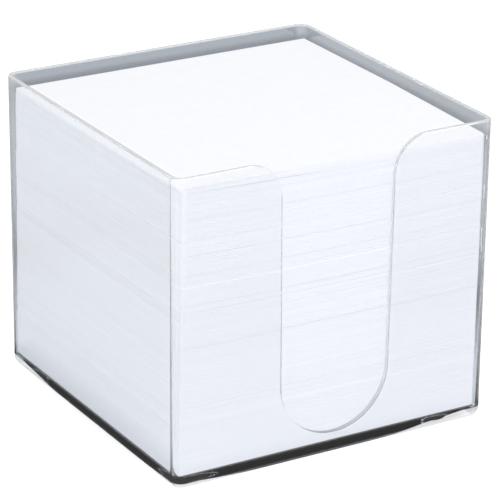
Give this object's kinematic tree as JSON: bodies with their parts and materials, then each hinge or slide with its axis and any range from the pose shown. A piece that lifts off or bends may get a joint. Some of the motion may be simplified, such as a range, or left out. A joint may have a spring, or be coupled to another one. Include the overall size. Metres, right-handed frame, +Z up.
{
  "type": "memo cube",
  "caption": "Clear open-topped square box with a U-shaped finger cut-out in its front wall and four small feet, holding a stack of loose white square note sheets.",
  "frame": {"origin": "on the table, under the middle of the box", "axes": "+Z up, -Y towards the finger cut-out, +X to the right seen from the front"},
  "size_m": [0.095, 0.095, 0.0858],
  "materials": {
    "clear_plastic": "clear polished polystyrene",
    "paper": "uncoated white 80 g note paper"
  },
  "bodies": {
    "box": {"clear_box": "clear_plastic"},
    "bottom_notes": {"note_sheaf_01": "paper", "note_sheaf_02": "paper", "note_sheaf_03": "paper", "note_sheaf_04": "paper", "note_sheaf_05": "paper"},
    "lower_notes": {"note_sheaf_06": "paper", "note_sheaf_07": "paper"},
    "middle_notes": {"note_sheaf_08": "paper", "note_sheaf_09": "paper", "note_sheaf_10": "paper"},
    "upper_notes": {"note_sheaf_11": "paper", "note_sheaf_12": "paper", "note_sheaf_13": "paper", "note_sheaf_14": "paper"},
    "high_notes": {"note_sheaf_15": "paper", "note_sheaf_16": "paper", "note_sheaf_17": "paper"},
    "top_notes": {"note_sheaf_18": "paper", "note_sheaf_19": "paper"},
    "top_sheet_1": {"note_sheet_1": "paper"},
    "top_sheet_2": {"note_sheet_2": "paper"},
    "top_sheet_3": {"note_sheet_3": "paper"},
    "top_sheet_4": {"note_sheet_4": "paper"},
    "top_sheet_5": {"note_sheet_5": "paper"},
    "top_sheet_6": {"note_sheet_6": "paper"}
  },
  "joints": [
    {"name": "bottom_notes_lift", "type": "slide", "parent": "box", "child": "bottom_notes", "axis": [0, 0, 1], "range_m": [0, 0.0874]},
    {"name": "lower_notes_lift", "type": "slide", "parent": "bottom_notes", "child": "lower_notes", "axis": [0, 0, 1], "range_m": [0, 0.0688]},
    {"name": "middle_notes_lift", "type": "slide", "parent": "lower_notes", "child": "middle_notes", "axis": [0, 0, 1], "range_m": [0, 0.0524]},
    {"name": "upper_notes_lift", "type": "slide", "parent": "middle_notes", "child": "upper_notes", "axis": [0, 0, 1], "range_m": [0, 0.0411]},
    {"name": "high_notes_lift", "type": "slide", "parent": "upper_notes", "child": "high_notes", "axis": [0, 0, 1], "range_m": [0, 0.0276]},
    {"name": "top_notes_lift", "type": "slide", "parent": "high_notes", "child": "top_notes", "axis": [0, 0, 1], "range_m": [0, 0.014]},
    {"name": "top_sheet_1_lift", "type": "slide", "parent": "top_notes", "child": "top_sheet_1", "axis": [0, 0, 1], "range_m": [0, 0.0102]},
    {"name": "top_sheet_2_lift", "type": "slide", "parent": "top_sheet_1", "child": "top_sheet_2", "axis": [0, 0, 1], "range_m": [0, 0.0101]},
    {"name": "top_sheet_3_lift", "type": "slide", "parent": "top_sheet_2", "child": "top_sheet_3", "axis": [0, 0, 1], "range_m": [0, 0.01]},
    {"name": "top_sheet_4_lift", "type": "slide", "parent": "top_sheet_3", "child": "top_sheet_4", "axis": [0, 0, 1], "range_m": [0, 0.0099]},
    {"name": "top_sheet_5_lift", "type": "slide", "parent": "top_sheet_4", "child": "top_sheet_5", "axis": [0, 0, 1], "range_m": [0, 0.0098]},
    {"name": "top_sheet_6_lift", "type": "slide", "parent": "top_sheet_5", "child": "top_sheet_6", "axis": [0, 0, 1], "range_m": [0, 0.0097]}
  ]
}
